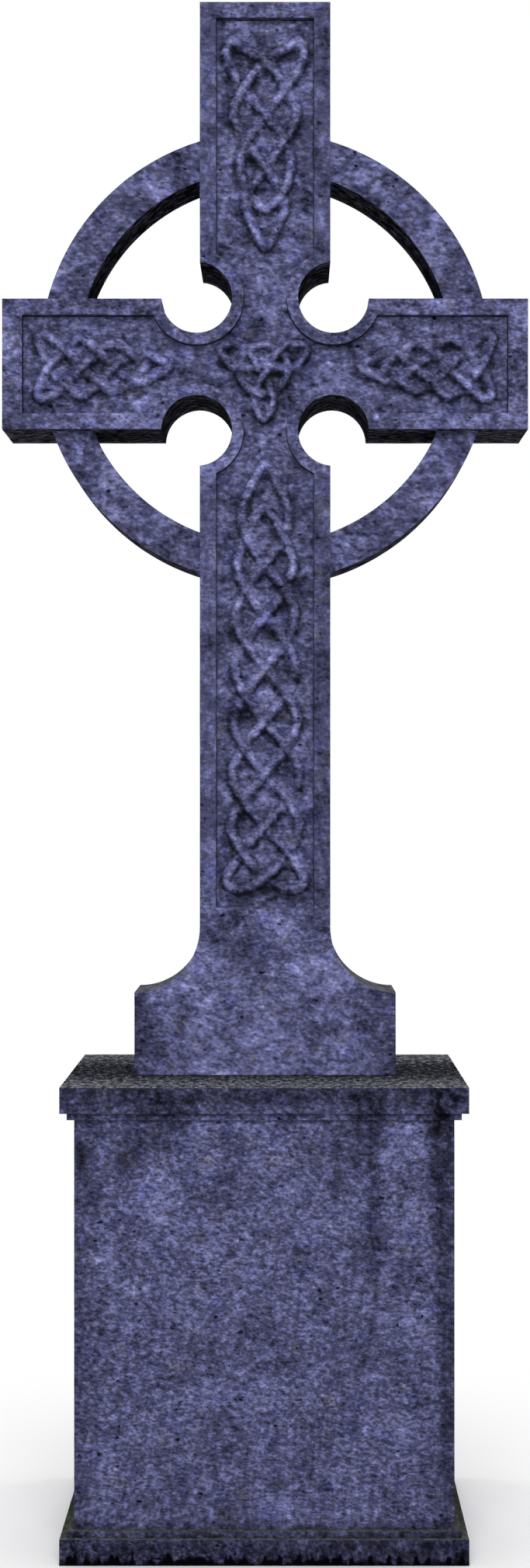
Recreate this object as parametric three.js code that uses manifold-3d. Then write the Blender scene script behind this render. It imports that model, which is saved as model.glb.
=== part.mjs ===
// A standing celtic cross of dark stone on a stepped square plinth.
// Millimetres, +Z up, the carved front faces -Y. The origin is the middle of the underside.

import * as THREE from "three";
import { mergeVertices } from "three/addons/utils/BufferGeometryUtils.js";
import Module from "manifold-3d";

const wasm = await Module();
wasm.setup();

// Plinth
const PLINTH_WIDTH = 610;
const PLINTH_HEIGHT = 710.5;
const EDGE_BLOCK_HEIGHT = 39.4;
const STEP = 10.4;

// Cross: shaft, arms and foot are one slab
const CROSS_THICKNESS = 203;
const LIMB_WIDTH = 202.8;
const ARM_SPAN = 816;
const ARM_CENTRE = 1812.9;
const CROSS_TOP = 2373.7;
const FOOT_WIDTH = 405.6;
const FOOT_BLOCK_TOP = 839;
const BED_GAP = 0.3;

// Round notches in the four corners between shaft and arms
const NOTCH_RADIUS = 54.6;
const NOTCH_OFFSET = 4.7;
const NOTCH_LIFT = 1.6;

// Ring through the four limbs, thinner than the slab and centred a little above the arms
const RING_OUTER_RADIUS = 351.7;
const RING_INNER_RADIUS = 292.1;
const RING_THICKNESS = 135;
const RING_CENTRE = 1828.3;

// Sunk panel on the front and the back
const PANEL_DEPTH = 21;
const PANEL_BORDER = 25.6;
const PANEL_ARM_BORDER = 31.3;
const PANEL_TOP_BORDER = 24.8;
const PANEL_NOTCH_RADIUS = 73;
const PANEL_BOTTOM = 970.9;

// Knotwork raised on the panel's floor
const KNOT_HEIGHT = 9;
const CORD_WIDTH = 15;
const FINE_CORD_WIDTH = 10;

// Each plait runs from its eared end, u = 0, to its pointed end. Sizes across it are half widths.
const TOP_PLAIT = {
  rows: 5, pitch: 41, inner: [35, 27], outer: [58, 35],
  ear: [[-24, 38], [-33, 54], [-4, 59]],
  innerTip: [[16, 12], [24, 0]],
  outerTip: [[24, 30], [50, 19], [83, 0]],
};
const SHAFT_PLAIT = {
  rows: 13, pitch: 40.8, inner: [36, 29], outer: [55, 43],
  ear: [[-12, 22], [-17, 45], [-2, 61]],
  innerTip: [[26, 18], [45, 0]],
  outerTip: [[44, 36], [80, 21], [113, 0]],
};
const ARM_PLAIT = {
  rows: 5, pitch: 25.8, inner: [29, 20], outer: [54, 33],
  ear: [[-12, 28], [-16, 45], [-2, 49]],
  innerTip: [[14, 10], [23, 0]],
  outerTip: [[18, 23], [38, 13], [59, 0]],
};
const TOP_PLAIT_START = 2285.4;
const SHAFT_PLAIT_START = 1015.5;
const ARM_PLAIT_START = 337.3;
const ARM_PLAIT_HEIGHT = 1811;

// Three petals and a ring in the middle of the crossing. A petal has a direction in degrees, a length
// and a widest half width, and its side is given in shares of the length and the half width.
const PETAL_CENTRE = 1807;
const PETALS = [[-90, 78, 15], [153.5, 75, 18], [26.5, 75, 18]];
const PETAL_SIDE = [[0.84, 0.68], [0.6, 1], [0.34, 0.6]];
const PETAL_ROOT = 11;
const PETAL_RING_RADIUS = 38.5;

// Smoothness of the round stretches
const ARC_STEPS = 10;
const RING_STEPS = 48;
const CORD_STEPS = 2;

const HALF_LIMB = LIMB_WIDTH / 2;

// A closed solid from a three.js geometry
function solid(geometry) {
  geometry.deleteAttribute("normal");
  geometry.deleteAttribute("uv");
  const welded = mergeVertices(geometry);
  return new wasm.Manifold(new wasm.Mesh({
    numProp: 3,
    vertProperties: new Float32Array(welded.attributes.position.array),
    triVerts: new Uint32Array(welded.index.array),
  }));
}

// An upright slab with the outline given in X and Z, from front to back along Y
function slab(outline, front, back, curveSegments = ARC_STEPS) {
  const geometry = new THREE.ExtrudeGeometry(outline, { depth: back - front, bevelEnabled: false, curveSegments });
  geometry.rotateX(Math.PI / 2);
  geometry.translate(0, back, 0);
  return solid(geometry);
}

// The angles at which a notch's circle meets the side of the shaft and the edge of the arm
function notchAngles(halfWidth, radius) {
  const reach = HALF_LIMB + NOTCH_OFFSET - halfWidth;
  const lift = HALF_LIMB + NOTCH_LIFT - halfWidth;
  return { shaft: Math.acos(reach / radius), arm: Math.asin(lift / radius) };
}

// The outline of the four limbs, from the right side of the shaft round to its left side
function addLimbs(path, halfWidth, halfSpan, top, radius) {
  const notchX = HALF_LIMB + NOTCH_OFFSET;
  const notchZ = HALF_LIMB + NOTCH_LIFT;
  const lower = ARM_CENTRE - notchZ;
  const upper = ARM_CENTRE + notchZ;
  const { shaft, arm } = notchAngles(halfWidth, radius);
  path.lineTo(halfWidth, lower - radius * Math.sin(shaft));
  path.absarc(notchX, lower, radius, Math.PI + shaft, arm, true);
  path.lineTo(halfSpan, ARM_CENTRE - halfWidth);
  path.lineTo(halfSpan, ARM_CENTRE + halfWidth);
  path.absarc(notchX, upper, radius, -arm, Math.PI - shaft, true);
  path.lineTo(halfWidth, top);
  path.lineTo(-halfWidth, top);
  path.absarc(-notchX, upper, radius, shaft, Math.PI + arm, true);
  path.lineTo(-halfSpan, ARM_CENTRE + halfWidth);
  path.lineTo(-halfSpan, ARM_CENTRE - halfWidth);
  path.absarc(-notchX, lower, radius, Math.PI - arm, -shaft, true);
}

function crossOutline() {
  const bed = PLINTH_HEIGHT + BED_GAP;
  const halfFoot = FOOT_WIDTH / 2;
  const flare = halfFoot - HALF_LIMB;
  const outline = new THREE.Shape();
  outline.moveTo(-halfFoot, bed);
  outline.lineTo(halfFoot, bed);
  outline.lineTo(halfFoot, FOOT_BLOCK_TOP);
  outline.absarc(halfFoot, FOOT_BLOCK_TOP + flare, flare, -Math.PI / 2, -Math.PI, true);
  addLimbs(outline, HALF_LIMB, ARM_SPAN / 2, CROSS_TOP, NOTCH_RADIUS);
  outline.absarc(-halfFoot, FOOT_BLOCK_TOP + flare, flare, 0, -Math.PI / 2, true);
  outline.lineTo(-halfFoot, bed);
  return outline;
}

function panelOutline() {
  const halfWidth = HALF_LIMB - PANEL_BORDER;
  const outline = new THREE.Shape();
  outline.moveTo(-halfWidth, PANEL_BOTTOM);
  outline.lineTo(halfWidth, PANEL_BOTTOM);
  addLimbs(outline, halfWidth, ARM_SPAN / 2 - PANEL_ARM_BORDER, CROSS_TOP - PANEL_TOP_BORDER, PANEL_NOTCH_RADIUS);
  outline.lineTo(-halfWidth, PANEL_BOTTOM);
  return outline;
}

function ringOutline() {
  const outline = new THREE.Shape();
  outline.absarc(0, RING_CENTRE, RING_OUTER_RADIUS, 0, 2 * Math.PI);
  const hole = new THREE.Path();
  hole.absarc(0, RING_CENTRE, RING_INNER_RADIUS, 0, 2 * Math.PI);
  outline.holes.push(hole);
  return outline;
}

// The way of the one endless cord of a four-strand plait, as [u, v] points.
// Odd rows hold two side crossings, even rows the middle crossing and the two outer bends.
function plaitCord({ rows, pitch, inner, outer, ear, innerTip, outerTip }) {
  const mix = (ends, row) => ends[0] + (ends[1] - ends[0]) * row / rows;
  const across = (row, column) => [0, mix(inner, row), mix(outer, row)][Math.abs(column)] * Math.sign(column);
  const loop = (points, side) => points.map(([u, v]) => [u, v * side]);
  const tip = (points, side) => {
    const half = points.map(([u, v]) => [rows * pitch + u, v]);
    return [...loop(half, side), ...loop(half.slice(0, -1).reverse(), -side)];
  };
  const cord = [];
  let row = 0;
  let column = 0;
  let along = 1;
  let sideways = 1;
  do {
    cord.push([row * pitch, across(row, column)]);
    if (along > 0 && row === rows) {
      // Round the pointed end to the other side crossing, then back along the plait
      const outwards = sideways === column;
      cord.push(...tip(outwards ? outerTip : innerTip, column));
      column = -column;
      along = -1;
      sideways = outwards ? -column : column;
    } else if (along < 0 && row === 0) {
      // Out round an ear and in at the first side crossing
      cord.push(...loop(ear, sideways));
      row = 1;
      column = sideways;
      along = 1;
      sideways = -sideways;
    } else if (along < 0 && row === 1 && sideways === column) {
      // Round the same ear the other way, in at the middle crossing
      cord.push(...loop([...ear].reverse(), column));
      row = 0;
      along = 1;
      sideways = -column;
      column = 0;
    } else {
      row += along;
      column += sideways;
      if (Math.abs(column) === 2) sideways = -sideways;
    }
  } while (!(row === 0 && column === 0 && along === 1 && sideways === 1));
  return cord;
}

// The one endless cord of the three petals, as [x, z] points about their middle
function petalCord() {
  const place = (petal, r, t) => {
    const angle = THREE.MathUtils.degToRad(PETALS[petal % PETALS.length][0]);
    return [r * Math.cos(angle) - t * Math.sin(angle), r * Math.sin(angle) + t * Math.cos(angle)];
  };
  const side = (petal, sign) => {
    const [, length, width] = PETALS[petal % PETALS.length];
    return PETAL_SIDE.map(([r, t]) => place(petal, r * length, sign * t * width));
  };
  const cord = [];
  PETALS.forEach(([, length], k) => {
    cord.push(place(k, length, 0), ...side(k, 1));
    cord.push(place(k, PETAL_ROOT, 0), place(k + 1, PETAL_ROOT, 0));
    cord.push(...side(k + 1, -1).reverse());
  });
  return cord;
}

// A flat raised band along an endless cord, made of short lengths joined together.
// Inside a bend tighter than the band, the two corners of a length draw together into one. The length
// then keeps its ends on the middle line, so that it still shares more than a corner with the next.
function band(points, width, front, back) {
  const nodes = points.map(([x, z]) => new THREE.Vector3(x, z, 0));
  const curve = new THREE.CatmullRomCurve3(nodes, true, "catmullrom", 0.5);
  const count = nodes.length * CORD_STEPS;
  const middles = [];
  const normals = [];
  for (let i = 0; i < count; i += 1) {
    const middle = curve.getPoint(i / count);
    const ahead = curve.getTangent(i / count);
    middles.push(new THREE.Vector2(middle.x, middle.y));
    normals.push(new THREE.Vector2(-ahead.y, ahead.x).setLength(width / 2));
  }
  const lengths = middles.map((start, i) => {
    const next = (i + 1) % count;
    const way = middles[next].clone().sub(start);
    const corners = [-1, 1].map((side) => {
      const from = start.clone().addScaledVector(normals[i], side);
      const to = middles[next].clone().addScaledVector(normals[next], side);
      const crossed = to.clone().sub(from).dot(way) <= 0;
      return crossed ? [start, from.add(to).multiplyScalar(0.5), middles[next]] : [from, to];
    });
    return slab(new THREE.Shape([...corners[0], ...corners[1].reverse()]), front, back);
  });
  return wasm.Manifold.union(lengths);
}

function knotwork() {
  const floor = -CROSS_THICKNESS / 2 + PANEL_DEPTH;
  const front = floor - KNOT_HEIGHT;
  const back = floor + KNOT_HEIGHT;
  const arm = plaitCord(ARM_PLAIT);
  const circle = [];
  for (let k = 0; k < ARC_STEPS; k += 1) {
    const angle = 2 * Math.PI * k / ARC_STEPS;
    circle.push([PETAL_RING_RADIUS * Math.cos(angle), PETAL_CENTRE + PETAL_RING_RADIUS * Math.sin(angle)]);
  }
  return wasm.Manifold.union([
    band(plaitCord(TOP_PLAIT).map(([u, v]) => [v, TOP_PLAIT_START - u]), CORD_WIDTH, front, back),
    band(plaitCord(SHAFT_PLAIT).map(([u, v]) => [v, SHAFT_PLAIT_START + u]), CORD_WIDTH, front, back),
    band(arm.map(([u, v]) => [u - ARM_PLAIT_START, ARM_PLAIT_HEIGHT + v]), CORD_WIDTH, front, back),
    band(arm.map(([u, v]) => [ARM_PLAIT_START - u, ARM_PLAIT_HEIGHT + v]), CORD_WIDTH, front, back),
    band(petalCord().map(([x, z]) => [x, PETAL_CENTRE + z]), FINE_CORD_WIDTH, front, back),
    band(circle, FINE_CORD_WIDTH, front, back),
  ]);
}

function crossSolid() {
  const face = CROSS_THICKNESS / 2;
  const past = PANEL_DEPTH;
  return slab(crossOutline(), -face, face)
    .add(slab(ringOutline(), -RING_THICKNESS / 2, RING_THICKNESS / 2, RING_STEPS))
    .subtract(slab(panelOutline(), -face - past, -face + PANEL_DEPTH))
    .subtract(slab(panelOutline(), face - PANEL_DEPTH, face + past))
    .add(knotwork());
}

// The plinth's stepped profile turned with four sides, so its plan is square
function plinthGeometry() {
  const half = PLINTH_WIDTH / 2;
  const capBase = PLINTH_HEIGHT - EDGE_BLOCK_HEIGHT;
  const profile = [
    [0, 0],
    [half, 0],
    [half, EDGE_BLOCK_HEIGHT],
    [half - STEP, EDGE_BLOCK_HEIGHT],
    [half - STEP, EDGE_BLOCK_HEIGHT + STEP],
    [half - 2 * STEP, EDGE_BLOCK_HEIGHT + STEP],
    [half - 2 * STEP, capBase - STEP],
    [half - STEP, capBase - STEP],
    [half - STEP, capBase],
    [half, capBase],
    [half, PLINTH_HEIGHT],
    [0, PLINTH_HEIGHT],
  ];
  const corners = profile.map(([x, z]) => new THREE.Vector2(x * Math.SQRT2, z));
  const geometry = new THREE.LatheGeometry(corners, 4, Math.PI / 4);
  geometry.rotateX(Math.PI / 2);
  return geometry;
}

function geometryOf(manifold) {
  const { numProp, vertProperties, triVerts } = manifold.getMesh();
  const geometry = new THREE.BufferGeometry();
  const positions = new Float32Array(triVerts.length * 3);
  triVerts.forEach((vertex, i) => {
    positions.set(vertProperties.subarray(vertex * numProp, vertex * numProp + 3), i * 3);
  });
  geometry.setAttribute("position", new THREE.BufferAttribute(positions, 3));
  geometry.computeVertexNormals();
  return geometry;
}

const slate = new THREE.MeshStandardMaterial({ color: 0x525273, roughness: 0.85, metalness: 0 });
const darkSlate = new THREE.MeshStandardMaterial({ color: 0x41425e, roughness: 0.88, metalness: 0 });

const cross = new THREE.Mesh(geometryOf(crossSolid()), slate);
cross.name = "cross";

const plinth = new THREE.Mesh(plinthGeometry(), darkSlate);
plinth.name = "plinth";

const gravestone = new THREE.Group();
gravestone.add(plinth, cross);

export default gravestone;
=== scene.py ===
# A weathered celtic cross of slate-blue stone on a stepped plinth. Metres, +Z up, front towards -Y.

import math

import bpy
import numpy as np
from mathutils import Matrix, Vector
from mathutils.geometry import delaunay_2d_cdt


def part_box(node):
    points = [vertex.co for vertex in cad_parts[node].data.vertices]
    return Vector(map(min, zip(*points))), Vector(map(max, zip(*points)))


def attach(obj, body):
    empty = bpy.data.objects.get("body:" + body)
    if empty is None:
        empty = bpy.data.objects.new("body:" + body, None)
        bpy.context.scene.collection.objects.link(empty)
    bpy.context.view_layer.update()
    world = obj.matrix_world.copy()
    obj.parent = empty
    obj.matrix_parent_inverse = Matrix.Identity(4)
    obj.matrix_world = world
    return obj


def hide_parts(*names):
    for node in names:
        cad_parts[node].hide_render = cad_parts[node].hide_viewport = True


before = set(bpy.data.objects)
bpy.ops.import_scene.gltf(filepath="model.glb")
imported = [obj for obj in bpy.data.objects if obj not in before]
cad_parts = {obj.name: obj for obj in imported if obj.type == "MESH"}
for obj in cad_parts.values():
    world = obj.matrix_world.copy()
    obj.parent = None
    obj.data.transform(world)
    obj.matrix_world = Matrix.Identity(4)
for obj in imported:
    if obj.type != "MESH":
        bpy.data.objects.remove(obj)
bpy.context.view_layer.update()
cross_low, cross_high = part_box("cross")
plinth_low, plinth_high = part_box("plinth")

# Cross, from the frame
HALF_THICKNESS = cross_high.y
HALF_SPAN = cross_high.x
TOP = cross_high.z
BED = cross_low.z

# Cross, the sizes that its box doesn't give
HALF_LIMB = 0.1014
HALF_FOOT = 0.2028
FOOT_BLOCK_TOP = 0.839
ARM_CENTRE = 1.8129
NOTCH_RADIUS = 0.0546
NOTCH_X = HALF_LIMB + 0.0047
NOTCH_RISE = HALF_LIMB + 0.0016
RING_CENTRE = 1.8283
RING_OUTER = 0.3517
RING_INNER = 0.2921
RING_HALF_THICKNESS = 0.0675

# Sunk panel
PANEL_DEPTH = 0.021
PANEL_BORDER = 0.0256
PANEL_ARM_BORDER = 0.0313
PANEL_TOP_BORDER = 0.0248
PANEL_BOTTOM = 0.9709
PANEL_NOTCH_RADIUS = 0.073

# Plinth
HALF_PLINTH = plinth_high.x
PLINTH_TOP = plinth_high.z
EDGE_BLOCK_HEIGHT = 0.0394
STEP = 0.0104

# Worn edges: the width of the rounding, and of the narrow flat strip kept beside it
ARRIS = 0.0008
STRIP = 0.0035

# Rows of points beside an edge: how far in from the outline, how deep, and how much it counts as side
ARRIS_ROWS = (
    (0.0, ARRIS, 1.0),
    (0.3 * ARRIS, 0.3 * ARRIS, 0.3),
    (ARRIS, 0.0, 0.0),
    (STRIP, 0.0, 0.0),
)
WALL_ROWS = (
    (-STRIP, 0.0, 0.0),
    (-ARRIS, 0.0, 0.0),
    (-0.3 * ARRIS, 0.3 * ARRIS, 0.0),
    (0.0, ARRIS, 0.4),
    (0.0001, PANEL_DEPTH - 0.0007, 1.0),
    (0.0005, PANEL_DEPTH, 0.0),
    (STRIP, PANEL_DEPTH, 0.0),
)

# How dark the painted shade on the sunk panel's walls is
WALL_SHADE = 0.75

# How far apart points are
OUTLINE_SPACING = 0.0075
PANEL_SPACING = 0.006
FACE_SPACING = 0.0095
SIDE_SPACING = 0.015
KNOT_SPACING = 0.0009
PLINTH_SPACING = 0.006
UNDERSIDE_SPACING = 0.05
CAP_SPACING = 0.009

# How deep weather wears the surface back, at most
WEAR_DEPTH = 0.0005

# Cords: half widths, heights, and the rows and steps of points as shares of a half width
CORD_HALF_WIDTH = 0.0106
FINE_CORD_HALF_WIDTH = 0.0086
CORD_HEIGHT = 0.0085
FINE_CORD_HEIGHT = 0.0085
CORD_ROWS = (0.0, 0.3, 0.55, 0.8, 1.0, 1.2)
CORD_STEP = 0.36
CORD_ROUNDNESS = 1.15

# Crossings: where they start to fade and end, in half widths, and how the upper and lower pass change height
CROSSING_REACH = (0.7, 2.6)
CROSSING_RISE = 0.05
CROSSING_DIP = -0.5

# Plaits, along u from the eared end to the pointed end and v across, in millimetres
TOP_PLAIT = dict(
    rows=5, pitch=41, inner=(35, 27), outer=(58, 35),
    ear=((-24, 38), (-33, 54), (-4, 59)),
    inner_tip=((16, 12), (24, 0)),
    outer_tip=((24, 30), (50, 19), (83, 0)),
)
SHAFT_PLAIT = dict(
    rows=13, pitch=40.8, inner=(36, 29), outer=(55, 43),
    ear=((-12, 22), (-17, 45), (-2, 61)),
    inner_tip=((26, 18), (45, 0)),
    outer_tip=((44, 36), (80, 21), (113, 0)),
)
ARM_PLAIT = dict(
    rows=5, pitch=25.8, inner=(29, 20), outer=(54, 33),
    ear=((-12, 28), (-16, 45), (-2, 49)),
    inner_tip=((14, 10), (23, 0)),
    outer_tip=((18, 23), (38, 13), (59, 0)),
)
TOP_PLAIT_START = 2.2854
SHAFT_PLAIT_START = 1.0155
ARM_PLAIT_START = 0.3373
ARM_PLAIT_HEIGHT = 1.811

# Middle of the three petals and the ring in the crossing, in metres
PETAL_CENTRE = (-0.0025, 1.807)

# Petals: direction in degrees, length and widest half width in millimetres
PETALS = ((-90, 78, 15), (153.5, 75, 18), (26.5, 75, 18))
PETAL_SIDE = ((0.84, 0.68), (0.6, 1.0), (0.34, 0.6))
PETAL_RING_STOP = 1
PETAL_ROOT = 11
PETAL_RING_RADIUS = 38.5
PETAL_RING_MEETING = math.radians(22)
MM = 0.001

# Dark stains on the plinth's front: x, z, half width, half height, strength
STAINS = (
    (-0.157, 0.664, 0.060, 0.060, 0.60),
    (-0.205, 0.610, 0.026, 0.044, 0.45),
    (-0.271, 0.606, 0.014, 0.034, 0.60),
    (-0.262, 0.534, 0.024, 0.024, 0.50),
    (0.105, 0.583, 0.010, 0.060, 0.55),
    (0.150, 0.655, 0.040, 0.055, 0.60),
    (0.163, 0.540, 0.012, 0.120, 0.50),
    (0.152, 0.455, 0.030, 0.040, 0.30),
    (0.265, 0.536, 0.022, 0.190, 0.60),
    (0.259, 0.663, 0.024, 0.050, 0.60),
    (0.273, 0.294, 0.014, 0.170, 0.50),
)


def smooth(low, high, x):
    t = np.clip((x - low) / (high - low), 0, 1)
    return t * t * (3 - 2 * t)


def lattice(cells, seed):
    # A fixed number in -1..1 for each whole-number place
    n = cells[:, 0] * 374761393 + cells[:, 1] * 668265263 + cells[:, 2] * 1440662683 + seed * 974634777
    n = n & 0xFFFFFFFF
    n = ((n ^ (n >> 13)) * 1274126177) & 0xFFFFFFFF
    return ((n ^ (n >> 16)) & 0xFFFF) / 32767.5 - 1


def noise(points, size, seed):
    # Smooth noise in -1..1 with lumps of about the given size
    scaled = points / size
    cells = np.floor(scaled).astype(np.int64)
    part = scaled - cells
    part = part * part * (3 - 2 * part)
    total = np.zeros(len(points))
    for corner in np.ndindex(2, 2, 2):
        weight = np.prod(np.where(corner, part, 1 - part), axis=1)
        total += weight * lattice(cells + np.array(corner), seed)
    return total


# Outlines in the X-Z plane


def trace(pieces, spacing):
    # Points along straight lines and arcs. A piece is a point, or (x, z, radius, first angle, last angle).
    out = [np.array(pieces[0])]

    def line_to(end):
        start = out[-1]
        count = max(1, round(np.hypot(*(end - start)) / spacing))
        out.extend(start + (end - start) * k / count for k in range(1, count + 1))

    for piece in pieces[1:]:
        if len(piece) == 2:
            line_to(np.array(piece))
            continue
        x, z, radius, first, last = piece
        line_to(np.array((x + radius * math.cos(first), z + radius * math.sin(first))))
        count = max(4, round(abs(last - first) * radius / spacing))
        for k in range(1, count + 1):
            angle = first + (last - first) * k / count
            out.append(np.array((x + radius * math.cos(angle), z + radius * math.sin(angle))))
    return np.array(out)


def limb_pieces(half_width, half_span, top, radius):
    # The right half of the four limbs, from the shaft up to the middle of the top
    reach = NOTCH_X - half_width
    lift = NOTCH_RISE - half_width
    shaft = math.acos(reach / radius)
    arm = math.asin(lift / radius)
    return [
        (NOTCH_X, ARM_CENTRE - NOTCH_RISE, radius, math.pi + shaft, arm),
        (half_span, ARM_CENTRE - half_width),
        (half_span, ARM_CENTRE + half_width),
        (NOTCH_X, ARM_CENTRE + NOTCH_RISE, radius, 2 * math.pi - arm, math.pi - shaft),
        (half_width, top),
        (0, top),
    ]


def both_halves(right):
    left = right[-2:0:-1] * (-1, 1)
    return np.concatenate([right, left])


def cross_outline(inset, spacing=OUTLINE_SPACING):
    flare = HALF_FOOT - HALF_LIMB
    radius = flare + inset
    tip = math.asin(inset / radius)
    pieces = [
        (0, BED + inset),
        (HALF_FOOT - inset, BED + inset),
        (HALF_FOOT, FOOT_BLOCK_TOP + flare, radius, -math.pi / 2 - tip, -math.pi),
        *limb_pieces(HALF_LIMB - inset, HALF_SPAN - inset, TOP - inset, NOTCH_RADIUS + inset),
    ]
    return both_halves(trace(pieces, spacing))


def panel_outline(inset, spacing=PANEL_SPACING):
    half_width = HALF_LIMB - PANEL_BORDER - inset
    pieces = [
        (0, PANEL_BOTTOM + inset),
        (half_width, PANEL_BOTTOM + inset),
        *limb_pieces(
            half_width,
            HALF_SPAN - PANEL_ARM_BORDER - inset,
            TOP - PANEL_TOP_BORDER - inset,
            PANEL_NOTCH_RADIUS + inset,
        ),
    ]
    return both_halves(trace(pieces, spacing))


def inside(points, loop):
    # Whether each point lies inside the closed loop, by counting crossings to its right
    result = np.zeros(len(points), bool)
    x, z = points[:, 0], points[:, 1]
    for a, b in zip(loop, np.roll(loop, -1, axis=0)):
        if a[1] == b[1]:
            continue
        spans = (a[1] > z) != (b[1] > z)
        result ^= spans & (x < a[0] + (z - a[1]) * (b[0] - a[0]) / (b[1] - a[1]))
    return result


# Knotwork


def plait_nodes(rows, pitch, inner, outer, ear, inner_tip, outer_tip):
    # The way of the plait's one endless cord, as (u, v, crossing). Odd rows hold two side
    # crossings, even rows the middle crossing and two outer bends.
    def across(row, column):
        share = row / rows
        width = (0, inner[0] + (inner[1] - inner[0]) * share, outer[0] + (outer[1] - outer[0]) * share)
        return math.copysign(width[abs(column)], column)

    def loop(points, side):
        return [(u, v * side, False) for u, v in points]

    def tip(points, side):
        half = [(rows * pitch + u, v) for u, v in points]
        return loop(half, side) + loop(half[-2::-1], -side)

    nodes = []
    start = (0, 0, 1, 1)
    state = start
    while not nodes or state != start:
        row, column, along, sideways = state
        nodes.append((row * pitch, across(row, column), abs(column) < 2))
        if along > 0 and row == rows:
            outwards = sideways == column
            nodes += tip(outer_tip if outwards else inner_tip, column)
            state = (row, -column, -1, column if outwards else -column)
            row, column, along, sideways = state
            nodes.append((row * pitch, across(row, column), True))
        elif along < 0 and row == 0:
            nodes += loop(ear, sideways)
            state = (1, sideways, 1, -sideways)
            continue
        elif along < 0 and row == 1 and sideways == column:
            nodes += loop(ear[::-1], column)
            state = (0, 0, 1, -column)
            continue
        row += along
        column += sideways
        state = (row, column, along, -sideways if abs(column) == 2 else sideways)
    return nodes


def petal_nodes():
    # The one endless cord of the three petals, as (x, z, crossing) about their middle
    def place(petal, r, t, crossing):
        angle = math.radians(PETALS[petal % 3][0])
        return r * math.cos(angle) - t * math.sin(angle), r * math.sin(angle) + t * math.cos(angle), crossing

    def side(petal, sign):
        _, length, width = PETALS[petal % 3]
        return [
            place(petal, r * length, sign * t * width, i == PETAL_RING_STOP)
            for i, (r, t) in enumerate(PETAL_SIDE)
        ]

    nodes = []
    for k in range(3):
        nodes.append(place(k, PETALS[k][1], 0, False))
        nodes += side(k, 1)
        nodes += [place(k, PETAL_ROOT, 0, True), place(k + 1, PETAL_ROOT, 0, True)]
        nodes += side(k + 1, -1)[::-1]
    return nodes


def petal_ring_nodes():
    nodes = []
    for k, (direction, _, _) in enumerate(PETALS[::-1]):
        middle = math.radians(direction)
        following = math.radians(PETALS[::-1][(k + 1) % 3][0])
        gap = (following - middle) % (2 * math.pi)
        stops = ((-PETAL_RING_MEETING, True), (0, False), (PETAL_RING_MEETING, True), (gap / 2, False))
        for offset, crossing in stops:
            angle = middle + offset
            nodes.append((PETAL_RING_RADIUS * math.cos(angle), PETAL_RING_RADIUS * math.sin(angle), crossing))
    return nodes


class Cord:
    # An endless cord: its middle line, and at each point the level that says which of two passes is on top

    def __init__(self, nodes, place, half_width, height, first_over=True):
        self.half_width = half_width
        points = np.array([place(u * MM, v * MM) for u, v, _ in nodes])
        steps = []
        for a, b in zip(points, np.roll(points, -1, 0)):
            steps.append(max(3, round(np.hypot(*(b - a)) / (half_width * CORD_STEP))))
        self.points = self.curve(points, steps)
        length = np.hypot(*np.diff(np.vstack([self.points, self.points[:1]]), axis=0).T)
        travelled = np.concatenate([[0], np.cumsum(length)])
        total, travelled = travelled[-1], travelled[:-1]
        starts = np.concatenate([[0], np.cumsum(steps)])[:-1]
        crossings = [starts[i] for i, node in enumerate(nodes) if node[2]]
        gap = np.abs(travelled[:, None] - travelled[crossings][None])
        gap = np.minimum(gap, total - gap)
        nearest = gap.argmin(1)
        over = np.where((nearest % 2 == 0) == first_over, 1.0, -1.0)
        near, far = CROSSING_REACH
        nearness = 1 - smooth(near * half_width, far * half_width, gap.min(1))
        self.level = over * nearness
        self.heights = height * (1 + np.where(over > 0, CROSSING_RISE, CROSSING_DIP) * nearness)
        ahead = np.roll(self.points, -1, 0) - np.roll(self.points, 1, 0)
        ahead /= np.hypot(*ahead.T)[:, None]
        self.normals = np.stack([-ahead[:, 1], ahead[:, 0]], 1)
        self.passes = [self.around(starts, steps, i) for i in range(len(nodes))]

    @staticmethod
    def curve(nodes, steps):
        out = []
        count = len(nodes)
        for i in range(count):
            a, b, c, d = (nodes[(i + k) % count] for k in (-1, 0, 1, 2))
            for s in range(steps[i]):
                t = s / steps[i]
                second = (2 * a - 5 * b + 4 * c - d) * t**2
                third = (3 * b - a - 3 * c + d) * t**3
                out.append(0.5 * (2 * b + (c - a) * t + second + third))
        return np.array(out)

    def around(self, starts, steps, i):
        # The indices of the stretch from a little over half way before node i to as far after it
        before = steps[i - 1] * 6 // 10
        after = steps[i] * 6 // 10
        return np.arange(starts[i] - before, starts[i] + after + 1) % len(self.points)

    def rows(self):
        # Points along the cord at set distances from its middle, with their level
        found = []
        for share in CORD_ROWS:
            for side in (1, -1) if share else (1,):
                found.append(self.points + self.normals * share * side * self.half_width)
        return np.concatenate(found), np.tile(self.level, len(found))


def all_cords():
    def up(u, v):
        return v, SHAFT_PLAIT_START + u

    def down(u, v):
        return v, TOP_PLAIT_START - u

    def from_left(u, v):
        return u - ARM_PLAIT_START, ARM_PLAIT_HEIGHT + v

    def from_right(u, v):
        return ARM_PLAIT_START - u, ARM_PLAIT_HEIGHT + v

    def middle(x, z):
        return PETAL_CENTRE[0] + x, PETAL_CENTRE[1] + z

    plain = (CORD_HALF_WIDTH, CORD_HEIGHT)
    fine = (FINE_CORD_HALF_WIDTH, FINE_CORD_HEIGHT)
    return [
        Cord(plait_nodes(**SHAFT_PLAIT), up, *plain),
        Cord(plait_nodes(**TOP_PLAIT), down, *plain),
        Cord(plait_nodes(**ARM_PLAIT), from_left, *plain),
        Cord(plait_nodes(**ARM_PLAIT), from_right, *plain, first_over=False),
        Cord(petal_nodes(), middle, *fine),
        Cord(petal_ring_nodes(), middle, *fine),
    ]


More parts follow.
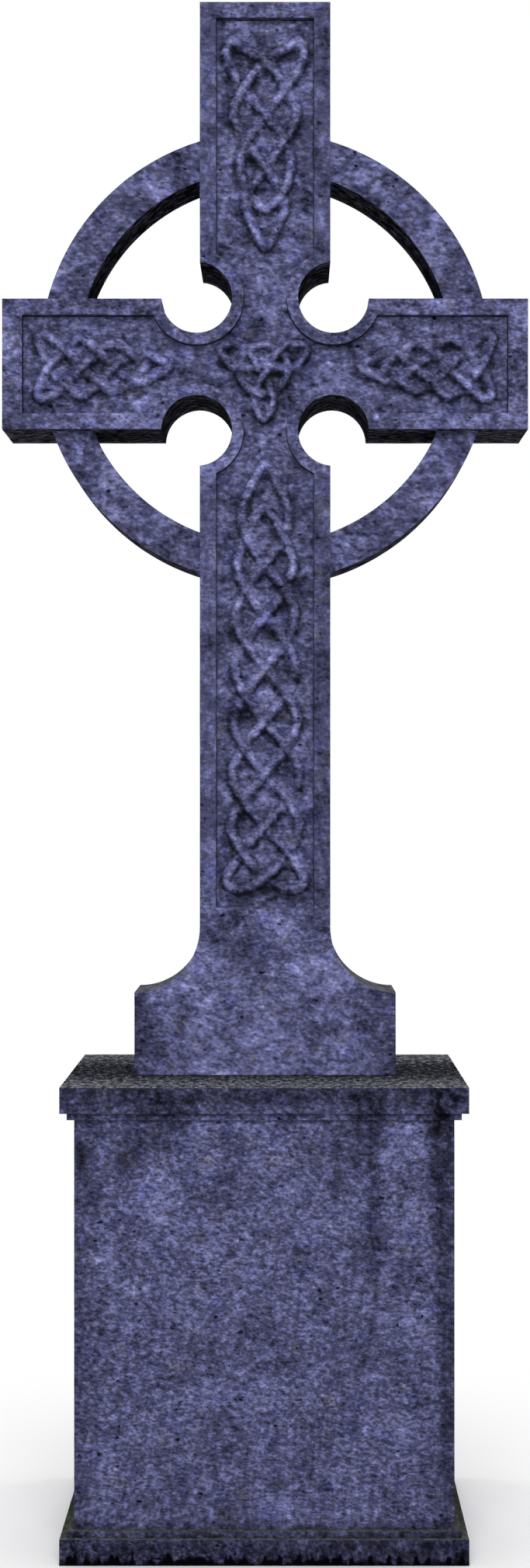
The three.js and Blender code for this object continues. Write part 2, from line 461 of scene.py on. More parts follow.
class Relief:
    # At each point: the knotwork's height, the level of the cord on top, and how far the nearest cord is

    def __init__(self, points, cords):
        self.height = np.zeros(len(points))
        self.covering = np.full(len(points), -9.0)
        self.clearance = np.full(len(points), 9.0)
        for cord in cords:
            reach = cord.half_width * 2.4
            for stretch in cord.passes:
                line = cord.points[stretch]
                box = (points > line.min(0) - reach).all(1) & (points < line.max(0) + reach).all(1)
                near = np.flatnonzero(box)
                if not len(near):
                    continue
                gap = np.hypot(*(points[near][:, None] - line[None]).transpose(2, 0, 1))
                closest = gap.argmin(1)
                share = gap.min(1) / cord.half_width
                level = cord.level[stretch][closest]
                rounded = np.clip(1 - share**2, 0, 1) ** CORD_ROUNDNESS
                self.height[near] = np.maximum(self.height[near], cord.heights[stretch][closest] * rounded)
                covered = np.where(share < 1, level, -9)
                self.covering[near] = np.maximum(self.covering[near], covered)
                self.clearance[near] = np.minimum(self.clearance[near], share)


class PaintedShade:
    # Painted shade on the carved panel: under and beside what stands higher, most of all in corners

    CELL = 0.0015
    REACH = 11

    def __init__(self, cords):
        self.low = np.array((-HALF_SPAN, PANEL_BOTTOM - 0.03))
        columns = int(2 * HALF_SPAN / self.CELL)
        rows = int((TOP - self.low[1]) / self.CELL)
        grid = np.stack(np.meshgrid(np.arange(columns), np.arange(rows)), -1).reshape(-1, 2)
        heights = Relief(self.low + grid * self.CELL, cords).height.reshape(rows, columns)
        closed = np.stack([
            smooth(0.40, 0.66, self.steepest(heights, up, across))
            for up, across in ((1, 0), (1, 1), (1, -1), (0, 1), (0, -1))
        ]).mean(0)
        self.field = self.soften(smooth(0.12, 0.6, closed))

    def steepest(self, heights, up, across):
        # How steeply the relief rises in one direction within reach
        padded = np.pad(heights, self.REACH)
        rows, columns = heights.shape
        best = np.zeros_like(heights)
        for k in range(1, self.REACH + 1):
            row = self.REACH + up * k
            column = self.REACH + across * k
            moved = padded[row:row + rows, column:column + columns]
            best = np.maximum(best, (moved - heights) / (self.CELL * k * math.hypot(up, across)))
        return best

    @staticmethod
    def soften(field):
        for axis in (0, 1):
            for _ in range(2):
                field = (np.roll(field, 1, axis) + 2 * field + np.roll(field, -1, axis)) / 4
        return field

    def at(self, points):
        place = (points - self.low) / self.CELL
        cell = np.clip(np.floor(place).astype(int), 0, np.array(self.field.shape)[::-1] - 2)
        x, z = (place - cell).T
        column, row = cell.T
        lower = self.field[row, column] * (1 - x) + self.field[row, column + 1] * x
        upper = self.field[row + 1, column] * (1 - x) + self.field[row + 1, column + 1] * x
        return lower * (1 - z) + upper * z


# Meshes


def hexagonal(low, high, spacing):
    # Staggered rows of points that fill a rectangle
    rise = spacing * math.sqrt(3) / 2
    out = []
    for row in range(int((high[1] - low[1]) / rise) + 1):
        x = np.arange(low[0] + spacing / 2 * (row % 2), high[0], spacing)
        out.append(np.stack([x, np.full(len(x), low[1] + row * rise)], 1))
    return np.concatenate(out)


def thinned(points, cell):
    # At most one point for each small square
    _, first = np.unique(np.floor(points / cell).astype(np.int64), axis=0, return_index=True)
    return np.sort(first)


def triangles(points, loops):
    # Triangles over the points that keep the closed loops as edges. The loops' points come first.
    edges = []
    total = 0
    for count in loops:
        edges += [(total + k, total + (k + 1) % count) for k in range(count)]
        total += count
    found, _, faces, original, _, _ = delaunay_2d_cdt([Vector(p) for p in points], edges, [], 0, 1e-7)
    source = np.array([o[0] for o in original])
    return np.array([tuple(p) for p in found]), np.array([tuple(f) for f in faces]), source


def knot_points(cords):
    kept = []
    for cord in cords:
        points, level = cord.rows()
        relief = Relief(points, cords)
        kept.append(points[relief.covering <= level + 0.15])
    points = np.concatenate(kept)
    return points[thinned(points, KNOT_SPACING)]


class Sheet:
    # One face of the cross: triangles inside its outline, with a depth and five marks at each point

    def __init__(self, cords, shelter):
        rows = [(cross_outline(inset), depth, side) for inset, depth, side in ARRIS_ROWS]
        rows += [(panel_outline(inset), depth, side) for inset, depth, side in WALL_ROWS]
        counts = [len(outline) for outline, _, _ in rows]
        extra = hexagonal((-HALF_SPAN, BED), (HALF_SPAN, TOP), FACE_SPACING)
        within = inside(extra, cross_outline(STRIP + 0.5 * FACE_SPACING))
        sunk = inside(extra, panel_outline(STRIP + 0.4 * FACE_SPACING))
        raised = ~inside(extra, panel_outline(-STRIP - 0.4 * FACE_SPACING))
        extra = extra[within & (sunk | raised)]
        if cords:
            extra = extra[Relief(extra, cords).clearance > 1.7]
            extra = np.concatenate([knot_points(cords), extra])
        deep = inside(extra, panel_outline(0))
        points = np.concatenate([outline for outline, _, _ in rows] + [extra])
        depth = np.repeat([depth for _, depth, _ in rows], counts)
        depth = np.concatenate([depth, np.where(deep, PANEL_DEPTH, 0)])
        side = np.repeat([side for _, _, side in rows], counts)
        side = np.concatenate([side, np.zeros(len(extra))])
        self.points, faces, source = triangles(points, counts)
        self.depth = depth[source]
        self.side = side[source]
        outer = sum(counts[:len(ARRIS_ROWS)])
        edges = sum(counts)
        wall = (source >= outer) & (source < edges) & (self.depth > 0.5 * ARRIS)
        self.hollow = np.maximum(in_notch(self.points), wall)
        self.faces = faces[inside(self.points[faces].mean(1), rows[0][0])]
        x, z = np.abs(self.points[:, 0]), self.points[:, 1]
        upright = smooth(PANEL_BOTTOM, PANEL_BOTTOM + 0.03, z) * smooth(0.15, 0.19, np.abs(z - ARM_CENTRE))
        self.margin = upright * (x > HALF_LIMB - PANEL_BORDER - 0.001)
        self.shelter = np.zeros(len(self.points))
        self.raised = np.zeros(len(self.points))
        if cords:
            height = Relief(self.points, cords).height
            self.depth = self.depth - height
            # Painted shade under and beside the cords in the sunk panel, and on the panel's walls
            self.shelter = shelter.at(self.points) * (self.depth > 0.2 * PANEL_DEPTH)
            self.raised = smooth(0.25 * CORD_HEIGHT, 0.95 * CORD_HEIGHT, height)
        self.shelter = np.maximum(self.shelter, WALL_SHADE * wall * self.side)


def make_object(name, vertices, faces, **marks):
    mesh = bpy.data.meshes.new(name)
    mesh.from_pydata([tuple(v) for v in vertices], [], [tuple(map(int, f)) for f in faces])
    mesh.update()
    for mark, values in marks.items():
        layer = mesh.attributes.new(mark, "FLOAT", "POINT")
        layer.data.foreach_set("value", np.asarray(values, np.float32))
    piece = bpy.data.objects.new(name, mesh)
    bpy.context.scene.collection.objects.link(piece)
    return piece


def spaced(low, high, spacing):
    # Values from low to high with a narrow strip at each end and even steps between
    steps = max(1, round((high - low - 2 * STRIP) / spacing))
    return np.concatenate([[low], np.linspace(low + STRIP, high - STRIP, steps + 1), [high]])


def slab_object(cords):
    front = Sheet(cords, PaintedShade(cords))
    back = Sheet([], None)
    rim = cross_outline(0)
    count = len(rim)
    levels = spaced(ARRIS - HALF_THICKNESS, HALF_THICKNESS - ARRIS, SIDE_SPACING)[1:-1]
    vertices = np.concatenate([
        np.stack([front.points[:, 0], front.depth - HALF_THICKNESS, front.points[:, 1]], 1),
        np.stack([back.points[:, 0], HALF_THICKNESS - back.depth, back.points[:, 1]], 1),
        *(np.stack([rim[:, 0], np.full(count, y), rim[:, 1]], 1) for y in levels),
    ])
    back_start = len(front.points)
    side_start = back_start + len(back.points)
    plain = np.zeros(count * len(levels))
    starts = [0, *(side_start + count * k for k in range(len(levels))), back_start]
    faces = [*front.faces, *(back.faces[:, ::-1] + back_start)]
    for first, second in zip(starts, starts[1:]):
        for k in range(count):
            after = (k + 1) % count
            faces.append((first + after, first + k, second + k, second + after))
    return make_object(
        "cross_stone", vertices, faces,
        side=np.concatenate([front.side, back.side, plain + 1]),
        hollow=np.concatenate([front.hollow, back.hollow, np.tile(in_notch(rim), len(levels))]),
        margin=np.concatenate([front.margin, back.margin, plain]),
        shelter=np.concatenate([front.shelter, back.shelter, plain]),
        raised=np.concatenate([front.raised, back.raised, plain]),
    )


def in_notch(points):
    # 1 on the walls of the four round notches, and near them
    x = np.abs(points[:, 0]) - NOTCH_X
    z = np.abs(points[:, 1] - ARM_CENTRE) - NOTCH_RISE
    return (np.hypot(x, z) < NOTCH_RADIUS + STRIP) * 1.0


def ring_object():
    # A full ring of rectangular section with worn edges
    half = RING_HALF_THICKNESS
    corners = np.array([(RING_INNER, -half), (RING_OUTER, -half), (RING_OUTER, half), (RING_INNER, half)])
    section = []
    side = []
    hollow = []
    for k in range(4):
        here, after = corners[k], corners[(k + 1) % 4]
        before = corners[k - 1]
        length = np.hypot(*(after - here))
        into = (before - here) / np.hypot(*(before - here))
        out = (after - here) / length
        section.append(here + (into + out) * 0.3 * ARRIS)
        side.append(0.3)
        hollow.append(k in (0, 3))
        for distance in spaced(ARRIS, length - ARRIS, SIDE_SPACING):
            section.append(here + out * distance)
            side.append(k % 2)
            hollow.append(k == 3)
    section = np.array(section)
    turns = 216
    vertices = []
    for k in range(turns):
        angle = 2 * math.pi * k / turns
        x = section[:, 0] * math.cos(angle)
        z = RING_CENTRE + section[:, 0] * math.sin(angle)
        vertices.append(np.stack([x, section[:, 1], z], 1))
    count = len(section)
    faces = []
    for k in range(turns):
        for s in range(count):
            a, b = k * count, (k + 1) % turns * count
            faces.append((a + s, a + (s + 1) % count, b + (s + 1) % count, b + s))
    vertices = np.concatenate(vertices)
    none = np.zeros(len(vertices))
    return make_object(
        "ring", vertices, faces, side=np.tile(side, turns), hollow=np.tile(hollow, turns),
        margin=none, shelter=none, raised=none,
    )


def join(piece, other):
    # Unites two closed meshes in one, and drops the second
    modifier = piece.modifiers.new("join", "BOOLEAN")
    modifier.operation = "UNION"
    modifier.solver = "MANIFOLD"
    modifier.object = other
    bpy.context.view_layer.objects.active = piece
    bpy.context.view_layer.update()
    bpy.ops.object.modifier_apply(modifier=modifier.name)
    bpy.data.objects.remove(other)


def square_loop(half, z, spacing):
    # Points round a square with slightly rounded corners. The number doesn't depend on its size.
    steps = round(2 * HALF_PLINTH / spacing)
    inner = np.linspace(STRIP - half, half - STRIP, steps + 1)
    along = np.concatenate([[ARRIS - half], inner, [half - ARRIS]])
    side = np.stack([along, np.full(len(along), -half)], 1)
    side = np.vstack([side, (half - 0.3 * ARRIS, 0.3 * ARRIS - half)])
    loop = []
    for _ in range(4):
        loop.append(side)
        side = np.stack([-side[:, 1], side[:, 0]], 1)
    loop = np.concatenate(loop)
    return np.column_stack([loop, np.full(len(loop), z)])


def plinth_profile(spacing):
    # Half width and height, from just inside the underside's edge up to just inside the top's edge
    half = HALF_PLINTH
    base = EDGE_BLOCK_HEIGHT
    cap = PLINTH_TOP - EDGE_BLOCK_HEIGHT
    corners = [
        (half - STRIP, 0), (half, 0), (half, base), (half - STEP, base), (half - STEP, base + STEP),
        (half - 2 * STEP, base + STEP), (half - 2 * STEP, cap - STEP), (half - STEP, cap - STEP),
        (half - STEP, cap), (half, cap), (half, PLINTH_TOP), (half - STRIP, PLINTH_TOP),
    ]
    corners = [np.array(corner) for corner in corners]
    profile = [corners[0]]
    for before, here, after in zip(corners, corners[1:], corners[2:]):
        into = (before - here) / np.hypot(*(before - here))
        out = (after - here) / np.hypot(*(after - here))
        convex = into[0] * out[1] - into[1] * out[0] < 0 and not (into[0] < 0 and here[1] > base + 2 * STEP)
        rounded = [here + into * ARRIS, here + (into + out) * 0.3 * ARRIS, here + out * ARRIS]
        target = rounded[0] if convex else here
        start = profile[-1]
        length = np.hypot(*(target - start))
        if length > 3 * STRIP:
            profile += [start + (target - start) * d / length for d in spaced(0, length, spacing)[1:-1]]
        profile += rounded if convex else [here]
    profile.append(corners[-1])
    return profile


def plinth_object():
    profile = plinth_profile(PLINTH_SPACING)
    loops = [square_loop(half, z, PLINTH_SPACING) for half, z in profile]
    count = len(loops[0])
    faces = []
    for k in range(len(loops) - 1):
        for s in range(count):
            a, b = k * count, (k + 1) * count
            faces.append((a + s, a + (s + 1) % count, b + (s + 1) % count, b + s))
    vertices = np.concatenate(loops)
    underside = (loops[0], 0, True, UNDERSIDE_SPACING)
    top = (loops[-1], len(vertices) - count, False, CAP_SPACING)
    for loop, start, flip, gap in (underside, top):
        reach = loop[:, 0].max() - gap / 2
        filling = hexagonal((-reach, -reach), (reach, reach), gap)
        points, found, source = triangles(np.concatenate([loop[:, :2], filling]), [count])
        number = np.where(source < count, start + source, len(vertices) + source - count)
        found = number[found]
        faces += [tuple(f[::-1]) if flip else tuple(f) for f in found]
        vertices = np.concatenate([vertices, np.column_stack([filling, np.full(len(filling), loop[0, 2])])])
    return make_object("plinth_stone", vertices, faces, stain=plinth_stain(vertices))


def plinth_stain(places):
    # How dark the plinth is at each place: its stains, and darker towards its bottom
    x, y, z = places.T
    half = HALF_PLINTH - 2 * STEP
    front = smooth(-half + 0.01, -half - 0.002, y)
    cap = 0.62 * smooth(0.678, 0.692, z) + 0.30 * smooth(0.655, 0.674, z) * (1 - smooth(0.678, 0.692, z))
    # Darker towards the bottom, over the lowest 8 cm
    foot = 0.68 * (1 - smooth(0.03, 0.08, z))
    stain = np.maximum(cap, foot)
    wobble = noise(places, 0.06, 21)
    corner = np.minimum(np.abs(np.abs(x) - half), half) + np.minimum(np.abs(np.abs(y) - half), half)
    stain = 1 - (1 - stain) * (1 - 0.35 * (1 - smooth(0.0, 0.045, corner + 0.012 * wobble)))
    for stain_x, stain_z, half_width, half_height, strength in STAINS:
        away = np.hypot((x - stain_x) / half_width, (z - stain_z) / half_height)
        stain = 1 - (1 - stain) * (1 - strength * front * (1 - smooth(0.25, 1.35, away + 0.25 * wobble)))
    return stain


def weather(piece, depth):
    # Wears the surface back unevenly, never outwards, and keeps what it stands on flat
    mesh = piece.data
    count = len(mesh.vertices)
    places = np.empty(count * 3, np.float32)
    mesh.vertices.foreach_get("co", places)
    places = places.reshape(-1, 3).astype(float)
    normals = np.empty(count * 3, np.float32)
    mesh.vertex_normals.foreach_get("vector", normals)
    normals = normals.reshape(-1, 3)
    worn = 0.55 * noise(places, 0.045, 3) + 0.3 * noise(places, 0.018, 5) + 0.15 * noise(places, 0.008, 9)
    free = smooth(0.0005, 0.006, places[:, 2] - places[:, 2].min())
    places -= normals * (depth * (0.5 + 0.5 * worn) * free)[:, None]
    mesh.vertices.foreach_set("co", places.astype(np.float32).ravel())
    mesh.update()


def shade(piece):
    piece.data.shade_smooth()
    piece.data.set_sharp_from_angle(angle=math.radians(50))


# Stone


def linear(colour):
    # A colour in 0..255 as the renderer's linear values
    return [c / 255 / 12.92 if c < 10.3 else ((c / 255 + 0.055) / 1.055) ** 2.4 for c in colour] + [1]


class Stone:
    # The nodes of one material

    def __init__(self, name):
        self.material = bpy.data.materials.new(name)
        self.material.use_nodes = True
        self.tree = self.material.node_tree
        self.shader = self.tree.nodes["Principled BSDF"]
        self.place = self.tree.nodes.new("ShaderNodeTexCoord").outputs

    def link(self, value, socket):
        # Another node's output is linked, and a plain value is set
        if isinstance(value, bpy.types.NodeSocket):
            self.tree.links.new(value, socket)
        else:
            socket.default_value = value

    def math(self, operation, first, second=0.0, third=0.0):
        node = self.tree.nodes.new("ShaderNodeMath")
        node.operation = operation
        for value, socket in zip((first, second, third), node.inputs):
            self.link(value, socket)
        return node.outputs[0]

    def between(self, value, low, high, start=0.0, end=1.0):
        # Runs smoothly from start to end as the value goes from low to high
        node = self.tree.nodes.new("ShaderNodeMapRange")
        node.interpolation_type = "SMOOTHSTEP"
        for number, socket in zip((value, low, high, start, end), node.inputs):
            self.link(number, socket)
        return node.outputs[0]

    def stretched(self, stretch, turn=0.0):
        node = self.tree.nodes.new("ShaderNodeMapping")
        node.vector_type = "TEXTURE"
        self.link(self.place["Object"], node.inputs["Vector"])
        node.inputs["Rotation"].default_value = (0, turn, 0)
        node.inputs["Scale"].default_value = stretch
        return node.outputs[0]

    def noise(self, size, stretch=(1, 1, 1), detail=2.0, roughness=0.6, turn=0.0, distortion=0.0):
        node = self.tree.nodes.new("ShaderNodeTexNoise")
        self.link(self.stretched([size * s for s in stretch], turn), node.inputs["Vector"])
        node.inputs["Scale"].default_value = 1
        node.inputs["Detail"].default_value = detail
        node.inputs["Roughness"].default_value = roughness
        node.inputs["Distortion"].default_value = distortion
        return node.outputs["Fac"]

    def spots(self, size, stretch, radius, softness, turn=0.0):
        # 1 in scattered spots of uneven outline, 0 between them
        node = self.tree.nodes.new("ShaderNodeTexVoronoi")
        place = self.stretched([size * s for s in stretch], turn)
        bent = self.tree.nodes.new("ShaderNodeTexNoise")
        self.link(place, bent.inputs["Vector"])
        bent.inputs["Scale"].default_value = 3.5
        shift = self.tree.nodes.new("ShaderNodeVectorMath")
        shift.operation = "MULTIPLY_ADD"
        self.link(bent.outputs["Color"], shift.inputs[0])
        shift.inputs[1].default_value = (0.28, 0.28, 0.28)
        self.link(place, shift.inputs[2])
        self.link(shift.outputs[0], node.inputs["Vector"])
        node.inputs["Scale"].default_value = 1
        chance = self.tree.nodes.new("ShaderNodeSeparateColor")
        self.link(node.outputs["Color"], chance.inputs[0])
        limit = self.math("MULTIPLY", chance.outputs[0], radius)
        edge = self.math("SUBTRACT", limit, node.outputs["Distance"])
        return self.between(edge, 0.0, softness)

    def ramp(self, value, stops):
        node = self.tree.nodes.new("ShaderNodeValToRGB")
        self.link(value, node.inputs[0])
        elements = node.color_ramp.elements
        while len(elements) < len(stops):
            elements.new(0.5)
        for element, (position, colour) in zip(elements, stops):
            element.position = position
            element.color = linear(colour)
        return node.outputs["Color"]

    def mix(self, factor, first, second, blend="MIX"):
        node = self.tree.nodes.new("ShaderNodeMix")
        node.data_type = "RGBA"
        node.blend_type = blend
        self.link(factor, node.inputs["Factor"])
        self.link(first, node.inputs["A"])
        self.link(second, node.inputs["B"])
        return node.outputs["Result"]

    def mark(self, name):
        node = self.tree.nodes.new("ShaderNodeAttribute")
        node.attribute_type = "GEOMETRY"
        node.attribute_name = name
        return node.outputs["Fac"]

    def total(self, *terms):
        # Starts at 0.5 and adds (weight, value) pairs, each value measured from its middle, 0.5
        result = 0.5
        for weight, value in terms:
            share = self.math("MULTIPLY", self.math("SUBTRACT", value, 0.5), weight)
            result = self.math("ADD", result, share)
        return result


# Colours in 0..255 from dark to light, each with its place from 0 to 1
FACE_TONES = (
    (0.0, (7, 7, 12)),
    (0.25, (33, 34, 50)),
    (0.5, (66, 67, 95)),
    (0.75, (105, 107, 149)),
    (1.0, (152, 154, 204)),
)
TOP_TONES = ((0.0, (8, 8, 10)), (0.5, (56, 57, 63)), (1.0, (132, 134, 143)))
# Down-facing faces and hollows: a darker copy of the tops' stone, painted shade
SHADED_SOFFIT_TONES = ((0.0, (4, 4, 6)), (0.5, (25, 25, 30)), (1.0, (84, 85, 96)))

# Single colours in 0..255
# Near-black: painted shade on the cross's carved panel, and the plinth's stains
STAIN_AND_SHADE_TONE = (12, 12, 17)
# Near-black, for the band along the plinth's bottom
BOTTOM_BAND_TONE = (4, 4, 8)
LEDGE_TONE = (58, 60, 50)


def face_tone(stone, scale, gains):
    # How light the stone is, about 0 to 1: grain, speckle, mottling and patches, less pits and specks
    grain = stone.noise(0.0032 * scale, (1.6, 1.6, 1), 1.5, 0.7, turn=0.12)
    speckle = stone.noise(0.0068 * scale, (1.5, 1.5, 1), 1.5, 0.7, turn=0.12)
    mottle = stone.noise(0.019 * scale, (1.3, 1.3, 1), 1.5, 0.8, turn=0.2, distortion=0.5)
    patch = stone.noise(0.075, detail=1.5, roughness=0.7)
    tone = stone.total(*zip(gains, (grain, speckle, mottle, patch)))
    pits = stone.spots(0.02, (1.5, 1.5, 1), 0.16, 0.05)
    specks = stone.spots(0.0068, (1.5, 1.5, 1), 0.26, 0.10)
    tone = stone.math("SUBTRACT", tone, stone.math("MULTIPLY", pits, 0.36))
    return stone.math("SUBTRACT", tone, stone.math("MULTIPLY", specks, 0.20))


def face_colour(stone, tone):
    colour = stone.ramp(tone, FACE_TONES)
    warm = stone.between(stone.noise(0.028, detail=3.0, roughness=0.7), 0.54, 0.74)
    blue = stone.between(stone.noise(0.035, detail=2.0, roughness=0.7, turn=0.9), 0.52, 0.70)
    colour = stone.mix(warm, colour, stone.mix(1.0, colour, (1.02, 0.93, 0.70, 1), "MULTIPLY"))
    return stone.mix(blue, colour, stone.mix(1.0, colour, (0.86, 0.88, 1.02, 1), "MULTIPLY"))


def finish(stone, colour, tone):
    stone.link(colour, stone.shader.inputs["Base Color"])
    stone.link(stone.between(tone, 0.2, 0.8, 0.95, 0.8), stone.shader.inputs["Roughness"])
    stone.shader.inputs["Specular IOR Level"].default_value = 0.0
    bump = stone.tree.nodes.new("ShaderNodeBump")
    bump.inputs["Strength"].default_value = 0.5
    bump.inputs["Distance"].default_value = 0.0015
    stone.link(tone, bump.inputs["Height"])
    stone.link(bump.outputs["Normal"], stone.shader.inputs["Normal"])
    return stone.material


def facing(stone):
    # How far the surface faces up, and how far down
    normal = stone.tree.nodes.new("ShaderNodeSeparateXYZ")
    stone.link(stone.place["Normal"], normal.inputs[0])
    up = stone.between(normal.outputs["Z"], 0.1, 0.6)
    down = stone.between(normal.outputs["Z"], -0.25, -0.7)
    return up, down


def cross_material():
    stone = Stone("weathered_cross_stone")
    tone = face_tone(stone, 1.25, (0.62, 0.74, 0.62, 0.62))
    place = stone.tree.nodes.new("ShaderNodeSeparateXYZ")
    stone.link(stone.place["Object"], place.inputs[0])
    low = stone.between(place.outputs["Z"], 0.98, 0.85)
    out = stone.between(stone.math("ABSOLUTE", place.outputs["X"]), 0.155, 0.21, 0.08, -0.07)
    tone = stone.math("ADD", tone, stone.math("MULTIPLY", low, out))
    # Raised cord tops lighter in patches: partly wear, partly a painted highlight
    worn = stone.between(stone.noise(0.034, detail=2.0), 0.42, 0.66, 0.02, 0.20)
    tone = stone.math("ADD", tone, stone.math("MULTIPLY", stone.mark("raised"), worn))
    run = stone.noise(0.026, (0.4, 0.4, 1), 3.0, 0.7)
    drawn = stone.total((1.1, run), (0.5, stone.noise(0.006)), (1.2, stone.noise(0.05, detail=3.0)))
    drawn = stone.math("ADD", drawn, stone.between(place.outputs["X"], -0.05, 0.05, -0.05, -0.15))
    share = stone.math("MULTIPLY", stone.mark("margin"), 0.38)
    tone = stone.math("ADD", tone, stone.math("MULTIPLY", share, stone.math("SUBTRACT", drawn, tone)))
    colour = face_colour(stone, tone)
    up, down = facing(stone)
    streak = stone.noise(0.018, (1, 0.6, 1), 4.0, 0.75)
    # On the sides: tops in their own grey; faces that look down, the notch and panel walls and the ring's
    # inner face in painted shade
    dark = stone.ramp(stone.total((3.6, streak)), SHADED_SOFFIT_TONES)
    light = stone.ramp(stone.math("ADD", stone.total((2.1, streak)), 0.14), TOP_TONES)
    sunless = stone.math("MAXIMUM", down, stone.mark("hollow"))
    edge = stone.mix(up, stone.mix(sunless, colour, dark), light)
    colour = stone.mix(stone.mark("side"), colour, edge)
    # Painted shade under and beside the cords and on the panel's walls, none on faces that look up
    stain_and_shade = stone.math("MULTIPLY", stone.mark("shelter"), stone.between(tone, 0.3, 0.9, 0.97, 0.6))
    stain_and_shade = stone.math("MULTIPLY", stain_and_shade, stone.math("SUBTRACT", 1.0, up))
    colour = stone.mix(stain_and_shade, colour, linear(STAIN_AND_SHADE_TONE))
    return finish(stone, colour, tone)


def plinth_material():
    stone = Stone("weathered_plinth_stone")
    tone = face_tone(stone, 1.0, (0.74, 0.74, 0.42, 0.34))
    colour = face_colour(stone, tone)
    ragged = stone.between(stone.noise(0.018, (1, 1, 1.3), 3.0, 0.75), 0.32, 0.68, 1.35, 0.65)
    stain_and_shade = stone.math("MULTIPLY", stone.mark("stain"), ragged)
    colour = stone.mix(stain_and_shade, colour, linear(STAIN_AND_SHADE_TONE))
    height = stone.tree.nodes.new("ShaderNodeSeparateXYZ")
    stone.link(stone.place["Object"], height.inputs[0])
    # A near-black band along the plinth's bottom, with a lobed, uneven top edge
    lobes = stone.tree.nodes.new("ShaderNodeTexVoronoi")
    lobes.feature = "DISTANCE_TO_EDGE"
    stone.link(stone.stretched((0.026, 0.026, 1000)), lobes.inputs["Vector"])
    lobes.inputs["Scale"].default_value = 1
    rise = stone.between(lobes.outputs["Distance"], 0.0, 0.2, 0.012, 0.001)
    uneven = stone.total((0.022, stone.noise(0.011)), (0.008, stone.noise(0.003)))
    level = stone.math("ADD", rise, stone.math("SUBTRACT", uneven, 0.497))
    bottom_band = stone.between(stone.math("SUBTRACT", height.outputs["Z"], level), -0.003, 0.006, 1.0, 0.0)
    colour = stone.mix(bottom_band, colour, linear(BOTTOM_BAND_TONE))
    up, down = facing(stone)
    fleck = stone.noise(0.009, (1, 2.4, 1), 3.0, 0.8)
    rim = stone.between(stone.math("ABSOLUTE", height.outputs["Y"]), 0.04, 0.26, -0.2, 0.13)
    top = stone.ramp(stone.math("ADD", stone.total((2.9, fleck)), rim), TOP_TONES)
    ledge = stone.between(height.outputs["Z"], 0.6, 0.65, 0.75, 0.0)
    top = stone.mix(ledge, top, linear(LEDGE_TONE))
    colour = stone.mix(up, colour, top)
    # Painted shade on faces that look down
    colour = stone.mix(down, colour, stone.ramp(stone.total((1.6, fleck)), SHADED_SOFFIT_TONES))
    return finish(stone, colour, tone)


cords = all_cords()
cross = slab_object(cords)
join(cross, ring_object())
weather(cross, WEAR_DEPTH)
shade(cross)
# The union leaves an empty material slot, which all faces would use
cross.data.materials.clear()
cross.data.materials.append(cross_material())
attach(cross, "root")
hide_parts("cross")

plinth = plinth_object()
weather(plinth, WEAR_DEPTH)
shade(plinth)
plinth.data.materials.append(plinth_material())
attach(plinth, "root")
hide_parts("plinth")


# Stage

FLOOR_RADIUS = 9
FLOOR_FADE = (0.5, 1.5)
WORLD_LIGHT = 0.42

# Camera, from the photo's perspective
CAMERA_PLACE = (0.031, -5.0328, 1.1433)
CAMERA_LENS = 73.1
CAMERA_SHIFT = (-0.0128, 0.0077)

# Lights: name, place, target, size and power
LIGHTS = (
    ("key", (0, -5.4, 2.9), (0, 0, 1.5), 3.0, 280),
    ("overhead", (0, -0.9, 5.6), (0, 0, 0), 3.0, 30),
    ("back", (0, 5.4, 2.6), (0, 0, 1.35), 3.0, 170),
    ("left", (-5.2, 0.8, 2.4), (0, 0, 1.35), 2.8, 80),
    ("right", (5.2, 0.8, 2.4), (0, 0, 1.35), 2.8, 80),
)


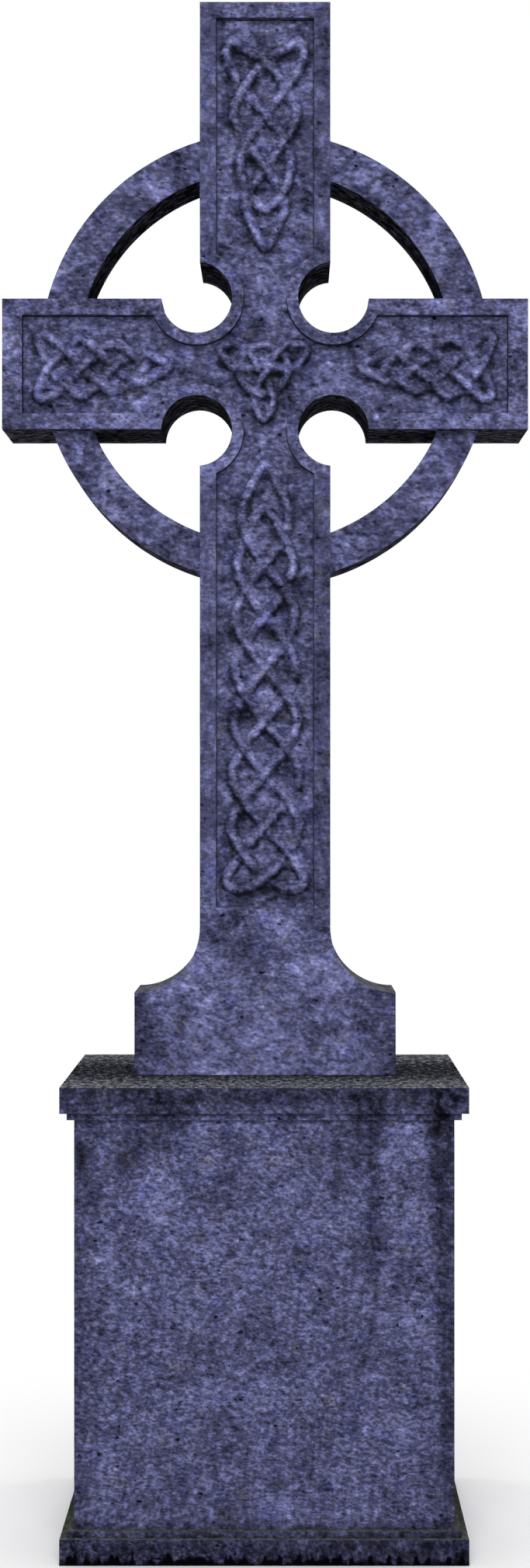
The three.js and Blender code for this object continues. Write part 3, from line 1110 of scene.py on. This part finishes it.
def make_floor():
    corners = 96
    angles = [2 * math.pi * k / corners for k in range(corners)]
    rim = [(FLOOR_RADIUS * math.cos(angle), FLOOR_RADIUS * math.sin(angle), 0) for angle in angles]
    mesh = bpy.data.meshes.new("floor")
    mesh.from_pydata(rim, [], [tuple(range(corners))])
    floor = bpy.data.objects.new("floor", mesh)
    bpy.context.scene.collection.objects.link(floor)
    material = bpy.data.materials.new("pale_floor")
    material.use_nodes = True
    tree = material.node_tree
    shader = tree.nodes["Principled BSDF"]
    shader.inputs["Base Color"].default_value = (0.85, 0.85, 0.85, 1)
    shader.inputs["Roughness"].default_value = 0.9
    shader.inputs["Specular IOR Level"].default_value = 0.1
    glow = tree.nodes.new("ShaderNodeEmission")
    place = tree.nodes.new("ShaderNodeTexCoord")
    length = tree.nodes.new("ShaderNodeVectorMath")
    length.operation = "LENGTH"
    fade = tree.nodes.new("ShaderNodeMapRange")
    fade.interpolation_type = "SMOOTHSTEP"
    fade.inputs["From Min"].default_value, fade.inputs["From Max"].default_value = FLOOR_FADE
    blend = tree.nodes.new("ShaderNodeMixShader")
    tree.links.new(place.outputs["Object"], length.inputs[0])
    tree.links.new(length.outputs["Value"], fade.inputs["Value"])
    tree.links.new(fade.outputs["Result"], blend.inputs["Fac"])
    tree.links.new(shader.outputs["BSDF"], blend.inputs[1])
    tree.links.new(glow.outputs["Emission"], blend.inputs[2])
    tree.links.new(blend.outputs["Shader"], tree.nodes["Material Output"].inputs["Surface"])
    floor.data.materials.append(material)


def make_camera():
    data = bpy.data.cameras.new("camera")
    data.lens = CAMERA_LENS
    data.sensor_width = 36
    data.shift_x, data.shift_y = CAMERA_SHIFT
    data.clip_end = 200
    camera = bpy.data.objects.new("camera", data)
    camera.location = CAMERA_PLACE
    camera.rotation_euler = (math.pi / 2, 0, 0)
    bpy.context.scene.collection.objects.link(camera)
    bpy.context.scene.camera = camera


def make_light(name, place, target, size, power):
    data = bpy.data.lights.new(name, "AREA")
    data.shape = "DISK"
    data.size = size
    data.energy = power
    light = bpy.data.objects.new(name, data)
    light.location = place
    light.rotation_euler = (Vector(target) - Vector(place)).to_track_quat("-Z", "Y").to_euler()
    bpy.context.scene.collection.objects.link(light)


def make_world():
    # White behind the object, and dimmer as a light
    world = bpy.data.worlds.new("world")
    world.use_nodes = True
    tree = world.node_tree
    background = tree.nodes["Background"]
    background.inputs["Color"].default_value = (1, 1, 1, 1)
    path = tree.nodes.new("ShaderNodeLightPath")
    strength = tree.nodes.new("ShaderNodeMapRange")
    strength.inputs["To Min"].default_value = WORLD_LIGHT
    strength.inputs["To Max"].default_value = 1
    tree.links.new(path.outputs["Is Camera Ray"], strength.inputs["Value"])
    tree.links.new(strength.outputs["Result"], background.inputs["Strength"])
    bpy.context.scene.world = world


make_floor()
make_camera()
for light in LIGHTS:
    make_light(*light)
make_world()
bpy.context.scene.view_settings.view_transform = "Standard"
